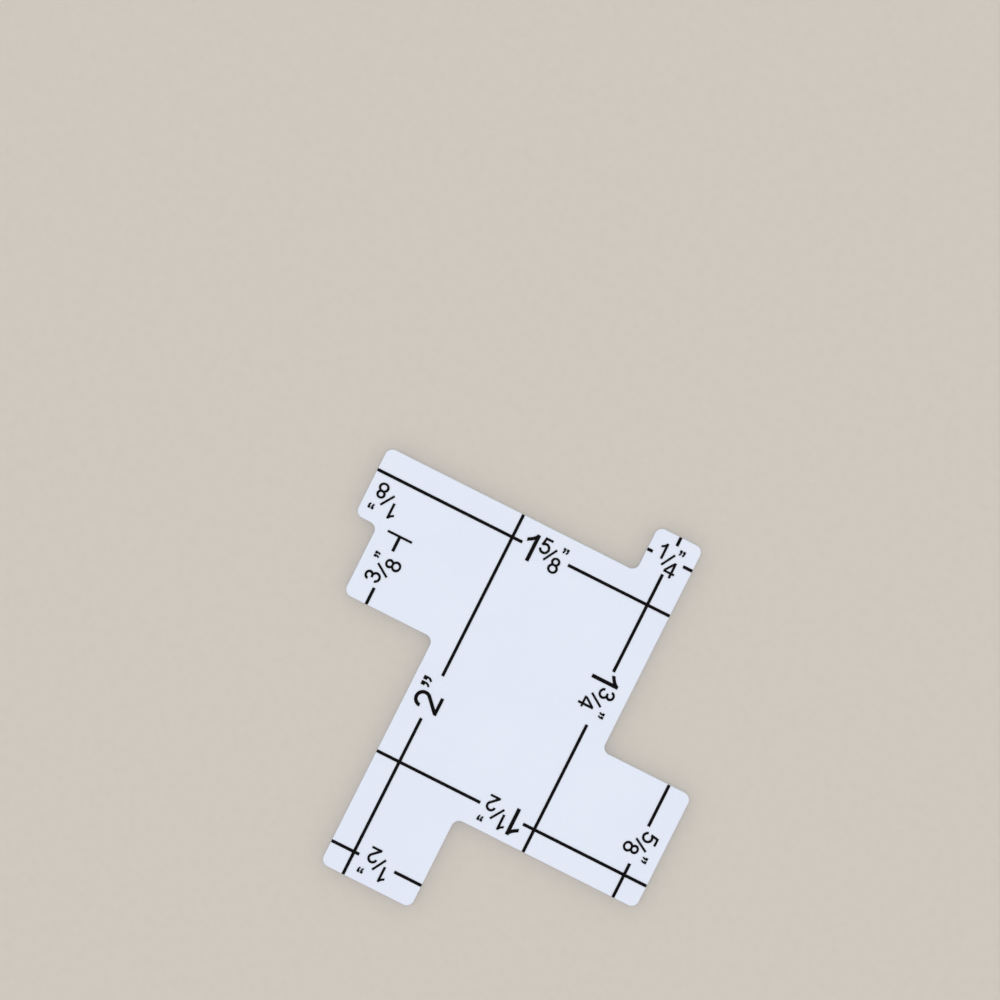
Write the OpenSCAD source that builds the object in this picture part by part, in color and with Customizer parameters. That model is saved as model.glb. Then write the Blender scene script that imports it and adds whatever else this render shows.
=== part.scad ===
// Sewing gauge: one flat plate whose steps, tab, leg and arms are the measures,
// with a printed rule on each measure.
// The plate lies on its back on the XY plane, printed face up, and the origin is
// the centre of its footprint. Millimetres throughout.

/* [Measures] */
// Depth of the step in the end of the left arm: the 1/8 inch measure
eighth_inch = 3.175; // [2.6:0.005:3.6]
// Width of the tab: the 1/4 inch measure
quarter_inch = 6.35; // [5.6:0.01:7.6]
// Height of the edge below the step: the 3/8 inch measure
three_eighth_inch = 9.525; // [8:0.005:11]
// Width of the leg: the 1/2 inch measure
half_inch = 12.7; // [11:0.05:14]
// Height of the right arm's end: the 5/8 inch measure
five_eighth_inch = 15.875; // [14:0.005:17.5]
// Leg's left edge to the right arm's end: the 1 1/2 inch measure
one_and_a_half_inch = 38.1; // [36:0.05:40]
// Left arm's end to the body's right edge: the 1 5/8 inch measure
one_and_five_eighth_inch = 41.275; // [39:0.005:43]
// Tab's top to the right arm's lower edge: the 1 3/4 inch measure
one_and_three_quarter_inch = 44.45; // [42.5:0.05:46.5]
// Shoulder to the foot of the leg: the 2 inch measure
two_inch = 50.8; // [48.5:0.05:53]

/* [Plate] */
// Thickness of the sheet
plate_t = 1; // [0.7:0.05:2]
// Height of the tab above the shoulder
tab_h = 6.35; // [5.6:0.01:7.5]
// Height of the left arm, from the shoulder to its lower edge
left_arm_h = 19.05; // [17:0.05:21]
// How far the left arm reaches out past the leg
left_arm_reach = 15.875; // [14:0.005:17.5]
// Radius of the outer corners
corner_r = 1; // [0.5:0.05:1.25]
// Radius of the inner corners, at the foot of each step
notch_r = 1; // [0.5:0.05:1.25]
// Bevel where the faces meet the cut edge
edge_bevel = 0.15; // [0.05:0.01:0.25]

/* [Print] */
// Thickness of the ink
ink_t = 0.05; // [0.03:0.01:0.1]
// Width of a printed rule
rule_w = 0.40; // [0.3:0.01:0.6]
// Middle of a rule to the plate's edge beside it
rule_inset = 3.175; // [2.9:0.005:3.5]
// Length of the bar that marks the level of the step
datum_len = 3.4; // [2.5:0.05:4.2]
// Thickness of that bar
datum_w = 0.30; // [0.25:0.01:0.5]

/* [Space left for the figures] */
// Along the 2 inch rule, from the shoulder to its figure
two_lead = 22.8; // [21:0.05:24]
// Space for the 2 inch figure
two_space = 5.95; // [5:0.05:7]
// Tick above the 1/4 inch figure
tick_len = 1.2; // [0.8:0.05:1.5]
// Along the 1 3/4 inch rule, from the tab's top to where it starts again
quarter_clear = 5.2; // [4.8:0.05:5.6]
// Along the 1 3/4 inch rule, from the tab's top to its figure
one_three_quarter_lead = 19; // [17.5:0.05:20]
// Space for the 1 3/4 inch figure
one_three_quarter_space = 7.45; // [6.5:0.05:8]
// Along the 5/8 inch rule, from its figure to the 1 1/2 inch rule
five_eighth_lead = 1.6; // [1.25:0.05:2.45]
// Space for the 5/8 inch figure
five_eighth_space = 5.25; // [4.8:0.05:5.5]
// Along the 3/8 inch rule, from the step's level to its figure
three_eighth_lead = 2.05; // [1.8:0.05:2.3]
// Space for the 3/8 inch figure
three_eighth_space = 5.15; // [4.8:0.05:5.4]
// Along the 1 5/8 inch rule, from the 2 inch rule to its figure
one_five_eighth_lead = 1.4; // [0.75:0.05:2.95]
// Space for the 1 5/8 inch figure
one_five_eighth_space = 6.45; // [5.5:0.05:7]
// Along the 1 1/2 inch rule, from its figure to the 1 3/4 inch rule
one_half_lead = 1.575; // [1.175:0.005:2.675]
// Space for the 1 1/2 inch figure
one_half_space = 6.05; // [5.5:0.05:6.5]
// Along the 1/2 inch rule, from the leg's edge to its figure
half_lead = 3.9; // [3.7:0.05:4.2]
// Space for the 1/2 inch figure
half_space = 4.95; // [4.5:0.05:5.4]
// Along the 1/4 inch rule, from the tab's left edge to its figure
quarter_lead = 0.75; // [0.6:0.05:0.95]
// Space for the 1/4 inch figure
quarter_space = 4.3; // [4:0.05:4.4]

/* [Hidden] */
$fn = 48;
facet_angle = 360 / $fn;

plate_colour = [0.890, 0.914, 0.969];
ink_colour = [0.05, 0.045, 0.05];

// How far a cutting or filling shape runs past the face that it works on
lap = 0.1;

// The two ways in which a rule runs on the page
rightwards = 0;
down = -90;

// The plate's footprint
overall_w = left_arm_reach + one_and_a_half_inch;
overall_h = tab_h + two_inch;

// Edges that stand upright on the page, from left to right
x_left_end = -overall_w / 2;
x_step = x_left_end + eighth_inch;
x_leg = x_left_end + left_arm_reach;
x_leg_side = x_leg + half_inch;
x_body = x_left_end + one_and_five_eighth_inch;
x_tab = x_body - quarter_inch;
x_right_end = x_leg + one_and_a_half_inch;

// Edges that lie across the page, from the top down
y_tab = overall_h / 2;
y_shoulder = y_tab - tab_h;
y_left_arm = y_shoulder - left_arm_h;
y_step = y_left_arm + three_eighth_inch;
y_right_arm_foot = y_tab - one_and_three_quarter_inch;
y_right_arm = y_right_arm_foot + five_eighth_inch;
y_foot = y_shoulder - two_inch;

// The sharp corners, anticlockwise from the foot of the leg
corners = [
    [x_leg, y_foot], [x_leg_side, y_foot],
    [x_leg_side, y_right_arm_foot], [x_right_end, y_right_arm_foot],
    [x_right_end, y_right_arm], [x_body, y_right_arm],
    [x_body, y_tab], [x_tab, y_tab],
    [x_tab, y_shoulder], [x_left_end, y_shoulder],
    [x_left_end, y_step], [x_step, y_step],
    [x_step, y_left_arm], [x_leg, y_left_arm]
];
last = len(corners) - 1;

// Corner i, the way into it, the way out of it, and how it turns
function before(i) = i == 0 ? last : i - 1;
function after(i) = i == last ? 0 : i + 1;
function way_out(i) = (corners[after(i)] - corners[i]) / norm(corners[after(i)] - corners[i]);
function way_in(i) = way_out(before(i));
function is_outer(i) = cross(way_in(i), way_out(i)) > 0;
function radius(i) = is_outer(i) ? corner_r : notch_r;
function centre(i) = corners[i] + radius(i) * (way_out(i) - way_in(i));
function heading(way) = atan2(way.y, way.x);

// The square between a corner and the centre of its arc, less the arc's disc:
// the nib that is cut from an outer corner, and the fillet that fills an inner one
module corner_nib(i, past) {
    difference() {
        translate(centre(i)) rotate(heading(way_out(i)))
            translate([-radius(i) - past, is_outer(i) ? -radius(i) - past : 0])
                square(radius(i) + past);
        translate(centre(i)) circle(radius(i));
    }
}

module outline() {
    difference() {
        union() {
            polygon(corners);
            for (i = [0 : last]) if (!is_outer(i)) corner_nib(i, lap);
        }
        for (i = [0 : last]) if (is_outer(i)) corner_nib(i, lap);
    }
}

// Section of the bevel's cutter: x runs outwards from the edge, y up from the face
module bevel_section() {
    polygon([[-edge_bevel - lap, lap], [lap, -edge_bevel - lap], [lap, lap]]);
}

// The bevel's cutter swept once round the outline: a straight length beside each edge,
// and a quarter turn round each arc's centre. They overlap, so that no skin is left between
// them: a length runs on past an outer corner's arc, and an inner corner's turn runs on past
// the lengths beside it. Neither cuts any deeper there.
module bevel_sweep() {
    for (i = [0 : last]) {
        back = is_outer(i) ? lap : 0;
        on = is_outer(after(i)) ? lap : 0;
        run = norm(corners[after(i)] - corners[i]) - radius(i) - radius(after(i));
        translate(corners[i] + (radius(i) - back) * way_out(i)) rotate(heading(way_out(i)))
            rotate([90, 0, 90]) mirror([1, 0, 0]) linear_extrude(run + back + on) bevel_section();
        spill = is_outer(i) ? 0 : facet_angle;
        translate(centre(i)) rotate(heading(way_out(i)) + (is_outer(i) ? 180 : 90) - spill)
            rotate_extrude(angle = 90 + 2 * spill) translate([radius(i), 0])
                mirror([is_outer(i) ? 0 : 1, 0, 0]) bevel_section();
    }
}

module gauge_plate() {
    color(plate_colour) difference() {
        linear_extrude(plate_t) outline();
        translate([0, 0, plate_t]) bevel_sweep();
        mirror([0, 0, 1]) bevel_sweep();
    }
}

// The stretches of one printed rule. It starts at a point and runs off at an angle, and each
// stretch is a pair of distances from the start. With deep set, it is the cutter of a gap
// that another rule leaves for it.
module rule(start, angle, stretches, width = rule_w, deep = 0) {
    translate([start.x, start.y, plate_t - deep]) rotate(angle)
        for (s = stretches) translate([s[0], -width / 2, 0])
            cube([s[1] - s[0], width, ink_t + 2 * deep]);
}

module two_inch_marks(deep = 0) {
    rule([x_leg + rule_inset, y_shoulder], down,
         [[edge_bevel, two_lead], [two_lead + two_space, two_inch - edge_bevel]], deep = deep);
}

module one_and_three_quarter_inch_marks(deep = 0) {
    resume = one_three_quarter_lead + one_three_quarter_space;
    rule([x_body - rule_inset, y_tab], down,
         [[edge_bevel, tick_len], [quarter_clear, one_three_quarter_lead],
          [resume, one_and_three_quarter_inch - edge_bevel]], deep = deep);
}

module five_eighth_inch_marks(deep = 0) {
    resume = five_eighth_inch - rule_inset - five_eighth_lead;
    rule([x_right_end - rule_inset, y_right_arm], down,
         [[edge_bevel, resume - five_eighth_space], [resume, five_eighth_inch - edge_bevel]],
         deep = deep);
}

module two_inch_rule() color(ink_colour) two_inch_marks();

module one_and_three_quarter_inch_rule() color(ink_colour) one_and_three_quarter_inch_marks();

module five_eighth_inch_rule() color(ink_colour) five_eighth_inch_marks();

// The bar at the level of the step, and the rule that hangs from it
module three_eighth_inch_rule() {
    start = [x_step + rule_inset, y_step];
    color(ink_colour) {
        rule([start.x - datum_len / 2, start.y], rightwards, [[0, datum_len]], width = datum_w);
        rule(start, down,
             [[datum_w / 2, three_eighth_lead],
              [three_eighth_lead + three_eighth_space, three_eighth_inch - edge_bevel]]);
    }
}

// Rules that run across the page leave a gap where a rule that runs down crosses them
module across(start, stretches) {
    color(ink_colour) difference() {
        rule(start, rightwards, stretches);
        two_inch_marks(deep = lap);
        one_and_three_quarter_inch_marks(deep = lap);
        five_eighth_inch_marks(deep = lap);
    }
}

module one_and_five_eighth_inch_rule() {
    pause = left_arm_reach + rule_inset + one_five_eighth_lead;
    across([x_left_end, y_shoulder - rule_inset],
           [[edge_bevel, pause],
            [pause + one_five_eighth_space, one_and_five_eighth_inch - edge_bevel]]);
}

module one_and_a_half_inch_rule() {
    resume = x_body - rule_inset - x_leg - one_half_lead;
    across([x_leg, y_right_arm_foot + rule_inset],
           [[edge_bevel, resume - one_half_space], [resume, one_and_a_half_inch - edge_bevel]]);
}

module half_inch_rule() {
    across([x_leg, y_foot + rule_inset],
           [[edge_bevel, half_lead], [half_lead + half_space, half_inch - edge_bevel]]);
}

// Nothing crosses the rule in the tab
module quarter_inch_rule() {
    color(ink_colour) rule([x_tab, y_tab - tab_h / 2], rightwards,
         [[edge_bevel, quarter_lead], [quarter_lead + quarter_space, quarter_inch - edge_bevel]]);
}

gauge_plate();
two_inch_rule();
one_and_three_quarter_inch_rule();
five_eighth_inch_rule();
three_eighth_inch_rule();
one_and_five_eighth_inch_rule();
one_and_a_half_inch_rule();
half_inch_rule();
quarter_inch_rule();
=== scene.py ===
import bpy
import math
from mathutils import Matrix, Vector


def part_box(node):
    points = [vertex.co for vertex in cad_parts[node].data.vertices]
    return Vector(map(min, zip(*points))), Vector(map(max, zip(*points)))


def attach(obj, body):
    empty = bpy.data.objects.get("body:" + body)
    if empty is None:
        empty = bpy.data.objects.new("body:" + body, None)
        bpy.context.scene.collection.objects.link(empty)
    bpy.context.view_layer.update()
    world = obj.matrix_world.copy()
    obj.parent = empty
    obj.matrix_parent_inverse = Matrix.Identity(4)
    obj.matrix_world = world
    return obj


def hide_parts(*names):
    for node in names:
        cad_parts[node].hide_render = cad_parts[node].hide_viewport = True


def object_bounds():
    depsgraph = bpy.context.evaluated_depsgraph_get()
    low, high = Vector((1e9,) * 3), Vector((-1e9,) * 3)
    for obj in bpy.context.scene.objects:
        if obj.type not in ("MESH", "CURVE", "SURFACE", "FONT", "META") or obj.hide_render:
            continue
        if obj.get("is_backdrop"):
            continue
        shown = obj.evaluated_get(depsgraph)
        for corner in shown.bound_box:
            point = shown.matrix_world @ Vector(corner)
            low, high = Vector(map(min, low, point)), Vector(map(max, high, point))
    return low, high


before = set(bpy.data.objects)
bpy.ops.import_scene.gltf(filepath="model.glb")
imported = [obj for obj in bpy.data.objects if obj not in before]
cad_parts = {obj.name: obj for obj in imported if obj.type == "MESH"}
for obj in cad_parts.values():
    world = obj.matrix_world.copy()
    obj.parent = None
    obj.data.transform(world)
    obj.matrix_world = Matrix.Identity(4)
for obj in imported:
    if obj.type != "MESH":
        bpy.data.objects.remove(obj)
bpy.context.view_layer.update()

# %% [markdown]
# # A sewing gauge
# A sewing gauge is a flat plate whose edges are the measures. A hem is folded against the
# step that has the right length, and the printed rule beside it says which one that is.
# The loaded model already has the plate and its rules at their true sizes. This lesson
# gives the plate its soft edge, prints the figures, and makes the plastic and the ink.

MM = 0.001

# %% Heights that everything else is set from
plate_low, plate_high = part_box("gauge_plate")
rule_low, rule_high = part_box("two_inch_rule")
face_z = plate_high.z
ink_depth = rule_high.z - rule_low.z
print("face at %.3f mm, ink %.3f mm deep" % (face_z / MM, ink_depth / MM))


# %% [markdown]
# ## Helpers for working by hand
# An operator acts on whatever is selected, and the loaded model arrives selected. So each
# piece starts by clearing the selection, and edges or faces are then picked by where they
# lie. The helpers below keep that in one place.

# %% Starting and ending a piece
def clear_selection():
    """Nothing selected, and object mode."""
    if bpy.context.object and bpy.context.object.mode != "OBJECT":
        bpy.ops.object.mode_set(mode="OBJECT")
    bpy.ops.object.select_all(action="DESELECT")


def only(piece):
    """This piece alone is selected and active."""
    clear_selection()
    piece.select_set(True)
    bpy.context.view_layer.objects.active = piece


def settle(piece):
    """Its place goes into its mesh, so the object is at the origin, unturned and unscaled."""
    only(piece)
    bpy.ops.object.transform_apply(location=True, rotation=True, scale=True)


# %% Picking and measuring
def pick(piece, what, test):
    """In edit mode, selects the faces, edges or vertices that pass the test."""
    bpy.ops.mesh.select_mode(type=what)
    bpy.ops.mesh.select_all(action="DESELECT")
    bpy.ops.object.mode_set(mode="OBJECT")
    mesh = piece.data
    parts = {"FACE": mesh.polygons, "EDGE": mesh.edges, "VERT": mesh.vertices}[what]
    chosen = 0
    for part in parts:
        part.select = bool(test(part))
        chosen += part.select
    bpy.ops.object.mode_set(mode="EDIT")
    return chosen


def outward(piece):
    """All faces point out of the solid."""
    only(piece)
    bpy.ops.object.mode_set(mode="EDIT")
    bpy.ops.mesh.select_all(action="SELECT")
    bpy.ops.mesh.normals_make_consistent(inside=False)
    bpy.ops.object.mode_set(mode="OBJECT")


def open_edges(piece):
    """Edges that don't have exactly two faces: a closed solid has none."""
    uses = {}
    for face in piece.data.polygons:
        for key in face.edge_keys:
            uses[key] = uses.get(key, 0) + 1
    return sum(1 for n in uses.values() if n != 2)


# %% [markdown]
# ## The plate
# The real plate is one flat piece of pale plastic about a millimetre thick, with each
# corner rounded and the sharp edge taken off both faces. It may be moulded or cut from
# sheet: the photograph shows the face alone and doesn't say which, and neither does it show
# the thickness. Here it is taken to be cut. It could be traced as an outline, but cutting
# it from a blank keeps the corners exactly where the measures put them: the blank is scored
# along each edge's line, the waste is broken away, the corners are rounded, and only then
# is it given its thickness.

# %% The measures, in millimetres
INCH = 25.4
eighth, quarter, three_eighths, half = 0.125 * INCH, 0.25 * INCH, 0.375 * INCH, 0.5 * INCH
five_eighths, one_and_half, one_and_five_eighths = 0.625 * INCH, 1.5 * INCH, 1.625 * INCH
one_and_three_quarters, two = 1.75 * INCH, 2 * INCH
tab_height = 0.25 * INCH
arm_height = 0.75 * INCH
arm_reach = 0.625 * INCH
corner_radius = 1.0
edge_softness = 0.15

# %% Where each edge's line lies
left_end = plate_low.x / MM
step = left_end + eighth
leg = left_end + arm_reach
leg_side = leg + half
body = left_end + one_and_five_eighths
tab = body - quarter
right_end = leg + one_and_half
tab_top = plate_high.y / MM
shoulder = tab_top - tab_height
arm_foot = shoulder - arm_height
step_level = arm_foot + three_eighths
right_foot = tab_top - one_and_three_quarters
right_top = right_foot + five_eighths
foot = shoulder - two
print("plate from the measures:", round(right_end - left_end, 3), "x", round(tab_top - foot, 3))
print("plate in the model:     ", round((plate_high.x - plate_low.x) / MM, 3), "x",
      round((plate_high.y - plate_low.y) / MM, 3))

# %% The blank, scored along every line
clear_selection()
bpy.ops.mesh.primitive_plane_add(
    size=1, location=((left_end + right_end) / 2 * MM, (foot + tab_top) / 2 * MM, 0))
plate = bpy.context.object
plate.name = "soft_edged_plate"
plate.scale = ((right_end - left_end) * MM, (tab_top - foot) * MM, 1)
settle(plate)
bpy.ops.object.mode_set(mode="EDIT")
for line in (step, leg, leg_side, tab, body):
    bpy.ops.mesh.select_all(action="SELECT")
    bpy.ops.mesh.bisect(plane_co=(line * MM, 0, 0), plane_no=(1, 0, 0))
for line in (shoulder, step_level, arm_foot, right_top, right_foot):
    bpy.ops.mesh.select_all(action="SELECT")
    bpy.ops.mesh.bisect(plane_co=(0, line * MM, 0), plane_no=(0, 1, 0))
bpy.ops.object.mode_set(mode="OBJECT")
print("cells in the scored blank:", len(plate.data.polygons))


# %% The waste, broken away
IN_LINE = math.radians(1)


def is_waste(face):
    x, y = face.center.x / MM, face.center.y / MM
    beside_tab = y > shoulder and not tab < x < body
    beside_step = x < step and y < step_level
    under_left_arm = x < leg and y < arm_foot
    over_right_arm = x > body and y > right_top
    beside_leg = x > leg_side and y < right_foot
    return beside_tab or beside_step or under_left_arm or over_right_arm or beside_leg


only(plate)
bpy.ops.object.mode_set(mode="EDIT")
print("waste cells:", pick(plate, "FACE", is_waste))
bpy.ops.mesh.delete(type="FACE")
bpy.ops.mesh.select_all(action="SELECT")
bpy.ops.mesh.dissolve_limited(angle_limit=IN_LINE)
bpy.ops.object.mode_set(mode="OBJECT")
print("left:", len(plate.data.polygons), "face with", len(plate.data.vertices), "corners")

# %% Rounded corners, thickness and a soft rim
CORNER_FACETS = 20
RIM_FACETS = 4
LEVEL_WITHIN = 0.001 * MM
CREASE = math.radians(32)
bpy.ops.object.mode_set(mode="EDIT")
bpy.ops.mesh.select_all(action="SELECT")
bpy.ops.mesh.bevel(offset=corner_radius * MM, segments=CORNER_FACETS, profile=0.5, affect="VERTICES")
bpy.ops.mesh.select_all(action="SELECT")
bpy.ops.mesh.extrude_region_move(TRANSFORM_OT_translate={"value": (0, 0, face_z)})
bpy.ops.object.mode_set(mode="OBJECT")
outward(plate)
bpy.ops.object.mode_set(mode="EDIT")


def is_rim(edge):
    a, b = (plate.data.vertices[i].co.z for i in edge.vertices)
    return abs(a - b) < LEVEL_WITHIN


print("rim edges:", pick(plate, "EDGE", is_rim))
bpy.ops.mesh.bevel(offset=edge_softness * MM, segments=RIM_FACETS, profile=0.5, affect="EDGES")
bpy.ops.object.mode_set(mode="OBJECT")
bpy.ops.object.shade_smooth_by_angle(angle=CREASE)
print("plate: open edges", open_edges(plate), "faces", len(plate.data.polygons))

# %% [markdown]
# ## The figures
# The figures are printed in a plain upright hand of even strokes, so each is drawn as a
# sign writer would: a flat nib is set down, pushed straight, turned round a centre, and
# lifted. Extrude pushes the nib and spin turns it. The strokes of one figure are then
# joined, because two coats of ink on the same spot would flicker in the render. Figures
# are drawn one unit high, which keeps the joins clean, and are scaled when placed.
# A text object would be quicker, but its letter shapes would be a typeface's and not these.

# %% A nib that can be pushed, turned and lifted
DEGREES_A_STEP = 6


class Nib:
    """A flat nib on the page, in units of the figure's height. Headings are in degrees."""

    def __init__(self, x, y, heading, width):
        clear_selection()
        self.x, self.y, self.heading = x, y, math.radians(heading)
        bpy.ops.mesh.primitive_plane_add(
            size=1, location=(x, y, 0.5), rotation=(math.pi / 2, 0, self.heading + math.pi / 2))
        self.piece = bpy.context.object
        self.piece.scale = (width, 1, 1)
        settle(self.piece)
        bpy.ops.object.mode_set(mode="EDIT")
        bpy.ops.mesh.select_all(action="SELECT")

    def push(self, length):
        """Straight ahead."""
        dx, dy = length * math.cos(self.heading), length * math.sin(self.heading)
        bpy.ops.mesh.extrude_region_move(TRANSFORM_OT_translate={"value": (dx, dy, 0)})
        self.x, self.y = self.x + dx, self.y + dy
        return self

    def turn(self, radius, degrees):
        """To the left for a positive angle. With no window, spin turns the other way."""
        side = 1 if degrees > 0 else -1
        cx = self.x - side * radius * math.sin(self.heading)
        cy = self.y + side * radius * math.cos(self.heading)
        angle = math.radians(degrees)
        bpy.ops.mesh.spin(steps=max(2, round(abs(degrees) / DEGREES_A_STEP)), angle=-angle,
                          center=(cx, cy, 0.5), axis=(0, 0, 1))
        rx, ry = self.x - cx, self.y - cy
        self.x = cx + rx * math.cos(angle) - ry * math.sin(angle)
        self.y = cy + rx * math.sin(angle) + ry * math.cos(angle)
        self.heading += angle
        return self

    def lift(self, stretch=1.0, about=0.0):
        """Ends the stroke, made wider or narrower about an upright line."""
        bpy.ops.mesh.select_all(action="SELECT")
        bpy.ops.transform.resize(value=(stretch, 1, 1), center_override=(about, 0, 0.5))
        bpy.ops.object.mode_set(mode="OBJECT")
        outward(self.piece)
        return self.piece


# %% Rings, trims and joins
# Points closer than SLIVER, in figure heights, are leavings of a join and become one point.
# Faces that meet within FLAT become one face.
SLIVER = 0.0008
FLAT = math.radians(0.5)
RING_POINTS = 64


def ring(x, y, across, up, width, level_width):
    """A closed oval stroke from its outer half-sizes: the stroke is width thick where it
    runs upright, and level_width thick at its top and foot."""
    clear_selection()
    bpy.ops.mesh.primitive_circle_add(vertices=RING_POINTS, radius=1, fill_type="NGON",
                                      location=(x, y, 0))
    piece = bpy.context.object
    piece.scale = (across, up, 1)
    settle(piece)
    bpy.ops.object.mode_set(mode="EDIT")
    bpy.ops.mesh.select_all(action="SELECT")
    bpy.ops.mesh.inset(thickness=width)
    opening = (up - level_width) / (up - width)
    bpy.ops.transform.resize(value=(1, opening, 1), center_override=(x, y, 0))
    bpy.ops.mesh.delete(type="FACE")
    bpy.ops.mesh.select_all(action="SELECT")
    bpy.ops.mesh.extrude_region_move(TRANSFORM_OT_translate={"value": (0, 0, 1)})
    bpy.ops.object.mode_set(mode="OBJECT")
    outward(piece)
    return piece


def trim(piece, point, away):
    """Cuts off what lies beyond a line on the page, and closes the cut."""
    only(piece)
    bpy.ops.object.mode_set(mode="EDIT")
    bpy.ops.mesh.select_all(action="SELECT")
    bpy.ops.mesh.bisect(plane_co=(*point, 0), plane_no=(*away, 0), use_fill=True, clear_outer=True)
    bpy.ops.object.mode_set(mode="OBJECT")
    outward(piece)
    return piece


def joined(name, *strokes):
    """One closed solid from overlapping strokes, with the slivers of the joining cleared.
    The MANIFOLD solver repeats itself best from run to run: only a point or two on straight
    edges of the 4 come and go."""
    whole = strokes[0]
    for stroke in strokes[1:]:
        only(whole)
        union = whole.modifiers.new("join", "BOOLEAN")
        union.operation, union.solver, union.object = "UNION", "MANIFOLD", stroke
        bpy.ops.object.modifier_apply(modifier=union.name)
        bpy.data.objects.remove(stroke)
    only(whole)
    bpy.ops.object.mode_set(mode="EDIT")
    bpy.ops.mesh.select_all(action="SELECT")
    bpy.ops.mesh.remove_doubles(threshold=SLIVER)
    bpy.ops.mesh.dissolve_degenerate(threshold=SLIVER)
    bpy.ops.mesh.dissolve_limited(angle_limit=FLAT)
    bpy.ops.object.mode_set(mode="OBJECT")
    whole.name = name
    print("%-8s open edges %d, %.3f wide, %.3f high" % (
        name, open_edges(whole), whole.dimensions.x, whole.dimensions.y))
    return whole


# %% [markdown]
# A small figure needs a broader nib for its size than a large one, or its strokes look faint
# beside the rules. So the small figures are drawn bolder, and the large ones, the big 1 and
# 2 and the big inch mark, are drawn again with a finer nib. All the nibs are a little broader
# than the print reads, because a renderer averages light and thins a narrow dark line. The
# numbers in a drawing are places and lengths in figure heights, and headings in degrees.

# %% Straight figures: 1, 4 and the fraction's bar
BOLD = 0.148
FINE = 0.135


def draw_one(name, pen):
    right = 0.385
    stem = Nib(right - pen / 2, 0, 90, pen).push(1).lift()
    flag = Nib(-0.05, 0.658, 30, pen * 0.88).push(0.19).turn(0.55, 20).push(0.30).lift()
    trim(flag, (0, 1), (0, 1))
    trim(flag, (right - pen / 2, 0), (1, 0))
    trim(flag, (-0.012, 0.745), (-1, -0.22))
    return joined(name, stem, flag)


def draw_four(pen=BOLD):
    thin = pen * 0.9
    stem = Nib(0.493, 0, 90, pen).push(1).lift()
    bar = Nib(-0.008, 0.302, 0, thin).push(0.713).lift()
    slope = Nib(-0.04, 0.238, 54.6, thin).push(1.1).lift()
    trim(slope, (0, 1), (0, 1))
    trim(slope, (0, 0.302 - thin / 2), (0, -1))
    trim(slope, (-0.008, 0), (-1, 0))
    trim(slope, (0.49, 0), (1, 0))
    return joined("four", stem, bar, slope)


def draw_slash(name, heading, pen=0.136):
    return joined(name, Nib(0.05, 0.028, heading, pen).push(1.018).lift())


# %% Round figures: 2, 3, 5 and 8
def draw_two(name, pen):
    bowl = Nib(0.098, 0.69, 90, pen).turn(0.2475, -227).push(0.80).lift()
    trim(bowl, (0, 0), (0, -1))
    trim(bowl, (-0.006, 0), (-1, 0))
    base = Nib(-0.006, pen * 0.47, 0, pen * 0.94).push(0.67).lift()
    return joined(name, bowl, base)


def draw_three(pen=0.143):
    upper = Nib(0.1, 0.722, 92, pen).turn(0.2025, -272).push(0.075).lift(1.1, 0.303)
    lower = Nib(0.323, 0.5375, 0, pen).turn(0.2425, -266).lift(1.06, 0.323)
    return joined("three", lower, upper)


def draw_five(pen=0.153):
    thin = pen * 0.95
    bar = Nib(0.12, 1 - thin / 2, 0, thin).push(0.505).lift()
    stem = Nib(0.193, 1.02, -99.9, thin).push(0.56).lift()
    trim(stem, (0, 1), (0, 1))
    bowl = Nib(0.118, 0.524, 47, pen).turn(0.278, -304).lift(0.965, 0.33)
    return joined("five", bowl, stem, bar)


def draw_eight(pen=0.154):
    level = pen * 0.88
    return joined("eight", ring(0.329, 0.300, 0.335, 0.307, pen, level),
                  ring(0.329, 0.7380, 0.292, 0.2700, pen, level))


def draw_mark(name, block_width, tail_width, tail_x, bend, curl, last):
    """One stroke of the inch mark: a block, and a tail that curls back under its left side."""
    block = Nib(block_width / 2, 1, -90, block_width).push(0.435).lift()
    tail = Nib(tail_x, 0.75, -90, tail_width).push(0.245).turn(bend, -curl).push(last).lift()
    return joined(name, block, tail)


# %% Every sign drawn once, one unit high, with the height in mm that it is printed at
SMALL = 2.08
drawn = {
    "1": (draw_one("one", 0.153), SMALL), "2": (draw_two("two", BOLD), SMALL),
    "3": (draw_three(), SMALL), "4": (draw_four(), SMALL), "5": (draw_five(), SMALL),
    "8": (draw_eight(), SMALL), "/": (draw_slash("slash", 60), SMALL),
    "leaning /": (draw_slash("leaning_slash", 56.8), SMALL),
    "mark": (draw_mark("mark", 0.473, 0.305, 0.305, 0.493, 46, 0.082), 0.735),
    "big 1": (draw_one("big_one", FINE), 3.63), "big 2": (draw_two("big_two", 0.128), 3.57),
    "big mark": (draw_mark("big_mark", 0.435, 0.225, 0.322, 0.42, 50, 0.17), 1.20),
}

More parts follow.
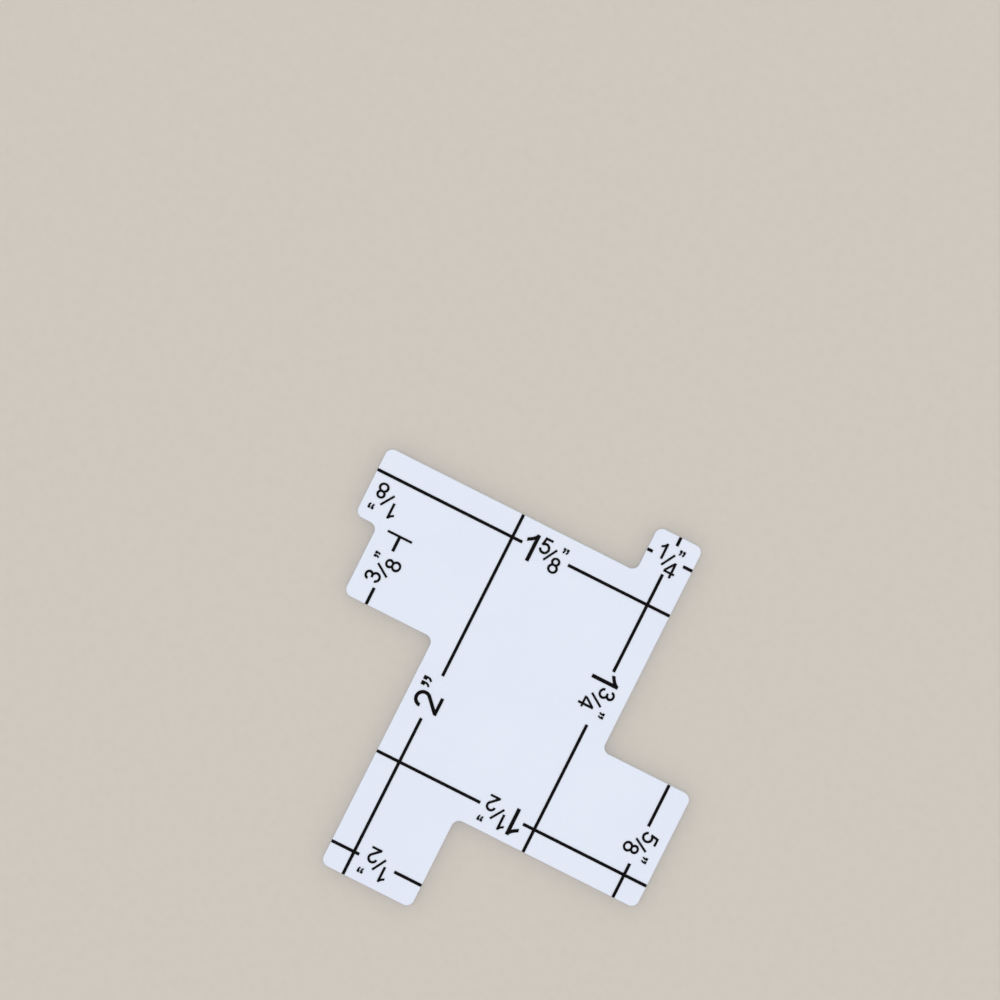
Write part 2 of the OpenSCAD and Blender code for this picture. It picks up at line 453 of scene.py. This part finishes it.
# %% Where each figure stands
# A figure is turned so that it reads along its rule. Each sign is given by the lower left
# corner of its box, in millimetres, in the figure's own upright frame.
figures = {
    "two_inch_figure": (90, [
        ("big 2", -5.51, 6.41), ("big mark", -2.71, 8.79), ("big mark", -1.98, 8.79)]),
    "one_and_three_quarter_inch_figure": (-90, [
        ("big 1", -9.20, 8.88), ("3", -7.29, 10.58), ("leaning /", -6.15, 9.79),
        ("4", -5.35, 8.77), ("mark", -4.35, 11.82), ("mark", -3.91, 11.82)]),
    "one_and_five_eighth_inch_figure": (0, [
        ("big 1", -6.20, 17.18), ("5", -4.35, 18.86), ("/", -3.31, 18.18),
        ("8", -2.33, 17.13), ("mark", -1.47, 20.07), ("mark", -1.03, 20.07)]),
    "one_and_a_half_inch_figure": (180, [
        ("big 1", -9.47, 11.19), ("1", -7.58, 12.72), ("leaning /", -6.76, 12.09),
        ("2", -5.65, 11.06), ("mark", -4.74, 14.07), ("mark", -4.32, 14.07)]),
    "five_eighth_inch_figure": (-90, [
        ("5", 6.45, 23.63), ("/", 7.73, 23.05), ("8", 8.54, 21.99),
        ("mark", 9.49, 24.90), ("mark", 9.95, 24.90)]),
    "half_inch_figure": (180, [
        ("1", 2.90, 25.38), ("/", 3.72, 24.49), ("2", 4.75, 23.65),
        ("mark", 5.80, 26.72), ("mark", 6.24, 26.72)]),
    "three_eighth_inch_figure": (90, [
        ("3", 6.06, 20.42), ("leaning /", 7.24, 19.76), ("8", 8.40, 18.72),
        ("mark", 9.04, 21.80), ("mark", 9.48, 21.80)]),
    "quarter_inch_figure": (0, [
        ("1", 9.36, 25.05), ("/", 10.27, 24.31), ("4", 10.97, 23.27),
        ("mark", 11.77, 26.40), ("mark", 12.21, 26.40)]),
    "eighth_inch_figure": (180, [
        ("1", 22.45, -16.13), ("leaning /", 23.40, -17.05), ("8", 24.49, -17.99),
        ("mark", 25.23, -14.97), ("mark", 25.68, -14.97)]),
}


# %% Copies laid in place and made one piece
def laid(piece, place):
    """A copy of a piece with a mesh of its own, laid where the matrix puts it."""
    copy = piece.copy()
    copy.data = piece.data.copy()
    copy.data.transform(place)
    bpy.context.collection.objects.link(copy)
    return copy


def as_one(name, copies):
    """One piece from all the copies."""
    clear_selection()
    for copy in copies:
        copy.select_set(True)
    bpy.context.view_layer.objects.active = copies[0]
    bpy.ops.object.join()
    whole = bpy.context.object
    whole.name = whole.data.name = name
    print("%-36s open edges %d, faces %d" % (name, open_edges(whole), len(whole.data.polygons)))
    return whole


printed = []
for name, (turned, signs) in figures.items():
    copies = []
    for sign, x, y in signs:
        piece, sign_height = drawn[sign]
        corner = Vector(map(min, zip(*(v.co for v in piece.data.vertices))))
        scale = sign_height * MM
        upright = (Matrix.Translation((x * MM, y * MM, face_z))
                   @ Matrix.Diagonal((scale, scale, ink_depth, 1))
                   @ Matrix.Translation((-corner.x, -corner.y, 0)))
        copies.append(laid(piece, Matrix.Rotation(math.radians(turned), 4, "Z") @ upright))
    printed.append(as_one(name, copies))
for piece, _ in drawn.values():
    bpy.data.objects.remove(piece)

# %% [markdown]
# ## Ink over the rim
# The rules run off the face: their ink goes on over the rounded rim until the side takes it
# out of sight. The model's rules stop where the rounding starts, so each of their ends gets
# a lip of ink. One lip is made by turning the nib's face over the rim, as a roller would
# lay the ink, and it is then thinned towards its far edge. The other ends get copies.

# %% One lip of ink
# It goes over the rim by RIM_ANGLE in RIM_STEPS, and LIP_END of its depth is left at its end.
# It is sunk a little into the plastic, so that no gap shows under it. A point belongs to a
# step if it is within NEAR_STEP of it.
RIM_STEPS = 5
RIM_ANGLE = math.radians(75)
LIP_END = 0.08
NEAR_STEP = 0.1
rim = edge_softness * MM
rim_centre = Vector((0, 0, face_z - rim))
sunk = 0.004 * MM
rule_width = rule_high.x - rule_low.x
clear_selection()
bpy.ops.mesh.primitive_plane_add(
    size=1, location=(0, 0, face_z + (ink_depth - sunk) / 2), rotation=(math.pi / 2, 0, math.pi / 2))
lip = bpy.context.object
lip.scale = (rule_width, ink_depth + sunk, 1)
settle(lip)
bpy.ops.object.mode_set(mode="EDIT")
bpy.ops.mesh.select_all(action="SELECT")
bpy.ops.mesh.spin(steps=RIM_STEPS, angle=-RIM_ANGLE, center=rim_centre, axis=(0, 1, 0))


def round_the_rim(vertex):
    """How far over the rim a point is, in steps, and how far from the rim's centre."""
    away = vertex.co - rim_centre
    return math.atan2(away.x, away.z) / RIM_ANGLE * RIM_STEPS, math.hypot(away.x, away.z)


for ring_step in range(1, RIM_STEPS + 1):
    share = 1 - (1 - LIP_END) * ring_step / RIM_STEPS

    def is_outer(vertex):
        steps_over, radius = round_the_rim(vertex)
        return abs(steps_over - ring_step) < NEAR_STEP and radius > rim + ink_depth / 2

    found = pick(lip, "VERT", is_outer)
    thinner = (rim + ink_depth * share) / (rim + ink_depth)
    bpy.ops.transform.resize(value=(thinner, 1, thinner), center_override=rim_centre)
    print("step", ring_step, "points", found, "thinned by", round(thinner, 3))
bpy.ops.object.mode_set(mode="OBJECT")
outward(lip)
print("lip: open edges", open_edges(lip), "reaches", round(lip.dimensions.x / MM, 4), "mm")

# %% A lip on every rule's end that is at the rim
# An end is at the rim if the plate's surface has dropped away two rim widths ahead of it.
ends = []
for node_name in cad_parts:
    if node_name == "gauge_plate":
        continue
    low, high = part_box(node_name)
    middle = (low + high) / 2
    if high.x - low.x > high.y - low.y:
        ends += [(low.x, middle.y, 180), (high.x, middle.y, 0)]
    else:
        ends += [(middle.x, low.y, -90), (middle.x, high.y, 90)]
at_the_rim = []
for x, y, heading in ends:
    ahead = Vector((math.cos(math.radians(heading)), math.sin(math.radians(heading)))) * rim * 2
    if plate.closest_point_on_mesh((x + ahead.x, y + ahead.y, face_z))[1].z < face_z - rim / 4:
        at_the_rim.append((x, y, heading))
print("rule ends:", len(ends), "of them at the rim:", len(at_the_rim))
rule_ends = as_one("rule_ends", [
    laid(lip, Matrix.Translation((x, y, 0)) @ Matrix.Rotation(math.radians(heading), 4, "Z"))
    for x, y, heading in at_the_rim])
bpy.data.objects.remove(lip)
printed.append(rule_ends)

# %% [markdown]
# ## Shader maths as plain sums
# A material's fine detail is a sum of patterns. Wrapping a socket in a small class lets such
# a sum be written as ordinary arithmetic, and one method adds every other kind of node.

# %% A socket that can be added, subtracted and multiplied
class Signal:
    """What comes out of a node, with sums written as plain arithmetic."""

    def __init__(self, tree, socket):
        self.tree, self.socket = tree, socket

    def maths(self, operation, *others, flip=False):
        node = self.tree.nodes.new("ShaderNodeMath")
        node.operation = operation
        values = [self, *others]
        if flip:
            values.reverse()
        for socket, value in zip(node.inputs, values):
            plug(self.tree, value, socket)
        return Signal(self.tree, node.outputs[0])

    def __add__(self, other):
        return self.maths("ADD", other)

    __radd__ = __add__

    def __sub__(self, other):
        return self.maths("SUBTRACT", other)

    def __rsub__(self, other):
        return self.maths("SUBTRACT", other, flip=True)

    def __mul__(self, other):
        return self.maths("MULTIPLY", other)


def plug(tree, value, socket):
    """Links a signal to the socket, or sets a plain value on it."""
    if isinstance(value, Signal):
        tree.links.new(value.socket, socket)
    else:
        socket.default_value = value


class Nodes:
    """A node tree and the one way to add a node to it."""

    def __init__(self, tree):
        self.tree = tree

    def node(self, kind, settings=None, **inputs):
        new = self.tree.nodes.new("ShaderNode" + kind)
        for key, value in (settings or {}).items():
            setattr(new, key, value)
        for key, value in inputs.items():
            plug(self.tree, value, new.inputs[key.replace("_", " ")])
        return new

    def out(self, node, name=0):
        return Signal(self.tree, node.outputs[name])


# Where the Mix node keeps the sockets that blend colours.
MIX_SHARE, MIX_FIRST, MIX_SECOND, MIX_RESULT = 0, 6, 7, 2


class Finish(Nodes):
    """A new material."""

    def __init__(self, name):
        self.material = bpy.data.materials.new(name)
        self.material.use_nodes = True
        super().__init__(self.material.node_tree)
        self.surface = self.tree.nodes["Principled BSDF"]

    def feed(self, name, value):
        """Gives an input of the surface a signal or a plain value."""
        plug(self.tree, value, self.surface.inputs[name])

    def blend(self, share, first, second):
        """A colour between two colours, which may be blends themselves."""
        node = self.node("Mix", {"data_type": "RGBA"})
        for number, value in ((MIX_SHARE, share), (MIX_FIRST, first), (MIX_SECOND, second)):
            plug(self.tree, value, node.inputs[number])
        return self.out(node, MIX_RESULT)


def shade(red, green, blue):
    """A colour as it reads on the screen, turned into light values for a shader."""
    def light(c):
        c /= 255
        return c / 12.92 if c <= 0.04045 else ((c + 0.055) / 1.055) ** 2.4
    return (light(red), light(green), light(blue), 1)


# %% [markdown]
# ## The plastic
# The plate is a pale, cool, nearly white plastic with a satin face. On the face it is very
# even, so what sets it apart from a painted shape is small: a fine grain, cloudy patches
# barely different in tone, and a few hairline scuffs from handling. All of it is kept faint,
# because a stronger pattern would make the plate look like paper or stone. The sides can't
# be seen in the photograph. They are taken to be cut, so they are drier than the face and
# carry fine upright lines from the cutter. They are also coloured darker than the face. That
# is painted shade, which keeps them from looking as bright as the face under the light from
# all round. They get a mask of their own: it is 1 where the surface stands upright and 0
# where it is level.

# %% Patterns that a finish is built from
def noise(finish, place, scale, detail=2.0, roughness=0.5):
    node = finish.node("TexNoise", {"noise_dimensions": "3D"}, Vector=place,
                       Scale=scale, Detail=detail, Roughness=roughness)
    return finish.out(node, "Fac")


def between(finish, value, low, high):
    """0 up to the low value, 1 from the high value, and a smooth rise in between."""
    node = finish.node("MapRange", {"clamp": True, "interpolation_type": "SMOOTHSTEP"},
                       Value=value, From_Min=low, From_Max=high)
    return finish.out(node)


def placed(finish, place, scale, turn=0.0):
    """Object coordinates, turned about the upright axis and stretched."""
    node = finish.node("Mapping", {"vector_type": "POINT"}, Vector=place, Scale=scale,
                       Rotation=(0, 0, math.radians(turn)))
    return finish.out(node, "Vector")


# %% How fine the plastic's patterns are, and how far it and the ink bend light
# A scale of 1000 gives a pattern about a millimetre wide, and one with a scale for each axis
# is stretched. A turn is in degrees. A span is where a mask goes over from none to all.
GRAIN = 8500
CLOUDS = 85
CUTTER_LINES = (6400, 6400, 220)
EAST_SCUFFS, EAST_SPAN, EAST_TURN = (60, 2600, 60), (0.63, 0.72), 31
NORTH_SCUFFS, NORTH_SPAN, NORTH_TURN = (45, 2100, 45), (0.64, 0.72), -68
UPRIGHT_SPAN = (0.25, 0.80)
NOISE_SPAN = (0.3, 0.7)
PLASTIC_RELIEF = 0.016 * MM
BENDS_LIGHT = 1.5

# %% Plastic for the plate
plastic = Finish("plate_plastic")
where = plastic.node("TexCoord")
place, facing = plastic.out(where, "Object"), plastic.out(where, "Normal")
axes = plastic.node("SeparateXYZ", Vector=facing)
side = 1 - between(plastic, plastic.out(axes, "Z").maths("ABSOLUTE"), *UPRIGHT_SPAN)
grain = noise(plastic, place, GRAIN, 3.0, 0.6)
cloud = noise(plastic, place, CLOUDS, 2.0)
cutter = noise(plastic, placed(plastic, place, CUTTER_LINES), 1.0, 3.0, 0.65)
east = placed(plastic, place, EAST_SCUFFS, EAST_TURN)
north = placed(plastic, place, NORTH_SCUFFS, NORTH_TURN)
scuffs = (between(plastic, noise(plastic, east, 1.0, 1.0), *EAST_SPAN)
          + between(plastic, noise(plastic, north, 1.0, 1.0), *NORTH_SPAN))
tone = between(plastic, cloud * 0.5 + grain * 0.5, *NOISE_SPAN)
face_colour = plastic.blend(tone, shade(225, 231, 245), shade(228, 234, 247))
# Painted shade: the upright sides are coloured darker than the face, so they read as shaded beside
# it. The cutter lines only vary that tone.
shaded_side_colour = plastic.blend(between(plastic, cutter, *NOISE_SPAN), shade(205, 213, 231),
                            shade(213, 220, 237))
plastic.feed("Base Color", plastic.blend(side, face_colour, shaded_side_colour))
plastic.feed("Roughness", 0.32 + cloud * 0.10 + grain * 0.08 + scuffs * 0.12 + side * 0.18)
level = 1 - side
raised = grain * 0.9 * level + cutter * 1.5 * side - scuffs * 0.6
relief = plastic.node("Bump", Strength=0.6, Distance=PLASTIC_RELIEF, Height=raised)
plastic.feed("Normal", plastic.out(relief, "Normal"))
plastic.feed("IOR", BENDS_LIGHT)
plastic.feed("Specular IOR Level", 0.4)
print("plastic nodes:", len(plastic.tree.nodes))

# %% [markdown]
# ## The ink
# The print is taken to be screen printing, which leaves a film of nearly black ink that
# stands a hair above the plastic. Its dry skin mirrors very little: that is what keeps it
# black under a bright surround. Its coverage varies a little, and its edge is as sharp as
# the stencil.

# %% Ink for the rules and figures
WEAVE = 5200
COVERAGE = 420
INK_RELIEF = 0.008 * MM
ink = Finish("printing_ink")
ink_place = ink.out(ink.node("TexCoord"), "Object")
weave = noise(ink, ink_place, WEAVE, 2.0, 0.55)
coverage = noise(ink, ink_place, COVERAGE, 2.0)
ink.feed("Base Color", ink.blend(between(ink, coverage, *NOISE_SPAN), shade(6, 4, 4),
                                 shade(11, 8, 8)))
ink.feed("Roughness", 0.42 + weave * 0.14 + coverage * 0.08)
ink_relief = ink.node("Bump", Strength=0.3, Distance=INK_RELIEF, Height=weave)
ink.feed("Normal", ink.out(ink_relief, "Normal"))
ink.feed("IOR", BENDS_LIGHT)
ink.feed("Specular IOR Level", 0.06)
print("ink nodes:", len(ink.tree.nodes))

# %% Every piece gets its finish
plate.data.materials.clear()
plate.data.materials.append(plastic.material)
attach(plate, "root")
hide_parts("gauge_plate")
for figure in printed:
    figure.data.materials.clear()
    figure.data.materials.append(ink.material)
    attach(figure, "root")
for node_name, node_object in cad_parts.items():
    if node_name != "gauge_plate":
        for slot in node_object.material_slots:
            slot.material = ink.material
print("inked rules:", len(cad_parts) - 1, "and ink pieces made here:", len(printed))

# %% [markdown]
# ## Table, light and camera
# The gauge lies on a plain pale table, under even light from all round and a broad soft lamp
# overhead. Even light keeps the plate the colour that it is, and leaves just a soft shade
# where the table meets the plate's edge. The camera looks straight down, with the gauge
# turned on the page, and stands off to one side, so the gauge sits low in the picture.

# %% How bright each part of the room is
# It is brightest low down, less bright below, and least bright overhead, where the lamp adds
# its own light. Each span is how far up a direction points, with 0 level and 1 straight up.
LOW_LIGHT = 1.42
HIGH_LIGHT = 0.68
LIGHT_BELOW = 0.90
HORIZON_SPAN = (-0.10, 0.30)
OVERHEAD_SPAN = (0.35, 0.75)
LAMP_POWER = 0.34
LAMP_HEIGHT = 0.55
LAMP_WIDTH = 0.50

# %% The table
# It stands a hundredth of a millimetre into the plate's rounded lower edge. In the plane of
# the plate's back it would shut out the light there, and the back would be black from below.
TABLE_HEIGHT = 0.01 * MM
TABLE_SIZE = 3
SPECKS = 900
clear_selection()
bpy.ops.mesh.primitive_plane_add(size=TABLE_SIZE, location=(0, 0, TABLE_HEIGHT))
table = bpy.context.object
table.name = "table"
settle(table)
paper = Finish("table_surface")
speck = noise(paper, paper.out(paper.node("TexCoord"), "Object"), SPECKS, 3.0)
paper.feed("Base Color", paper.blend(speck, shade(204, 197, 187), shade(209, 203, 194)))
paper.feed("Roughness", 0.85)
paper.feed("Specular IOR Level", 0.2)
table.data.materials.append(paper.material)
table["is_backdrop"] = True

# %% The light
world = bpy.context.scene.world or bpy.data.worlds.new("studio")
bpy.context.scene.world = world
world.use_nodes = True
studio = Nodes(world.node_tree)
towards = studio.out(studio.node("TexCoord"), "Generated")
upward = studio.out(studio.node("SeparateXYZ", Vector=towards), "Z")
above = LOW_LIGHT + between(studio, upward, *OVERHEAD_SPAN) * (HIGH_LIGHT - LOW_LIGHT)
strength = LIGHT_BELOW + between(studio, upward, *HORIZON_SPAN) * (above - LIGHT_BELOW)
background = studio.tree.nodes["Background"]
plug(studio.tree, strength, background.inputs["Strength"])
plug(studio.tree, (1, 1, 1, 1), background.inputs["Color"])
bpy.ops.object.light_add(type="AREA", location=(0, 0, LAMP_HEIGHT))
lamp = bpy.context.object
lamp.name = "softbox"
lamp.data.shape = "DISK"
lamp.data.size = LAMP_WIDTH
lamp.data.energy = LAMP_POWER

# %% The camera
view_x, view_y = -11.44 * MM, 22.53 * MM
page_turn = math.radians(26.7115)
view_width = 0.1262
lens, sensor = 150.0, 36.0
stand_off = view_width * lens / sensor
bpy.ops.object.camera_add(location=(view_x, view_y, face_z + stand_off),
                          rotation=(0, 0, page_turn))
camera = bpy.context.object
camera.data.lens, camera.data.sensor_width = lens, sensor
camera.data.clip_start, camera.data.clip_end = 0.01, 10
bpy.context.scene.camera = camera
bpy.context.scene.view_settings.view_transform = "Standard"
print("camera %.1f mm above the face" % (stand_off / MM))

# %% The sizes, printed
low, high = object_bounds()
print("visual box in mm:", [round(c / MM, 3) for c in (*low, *high)])
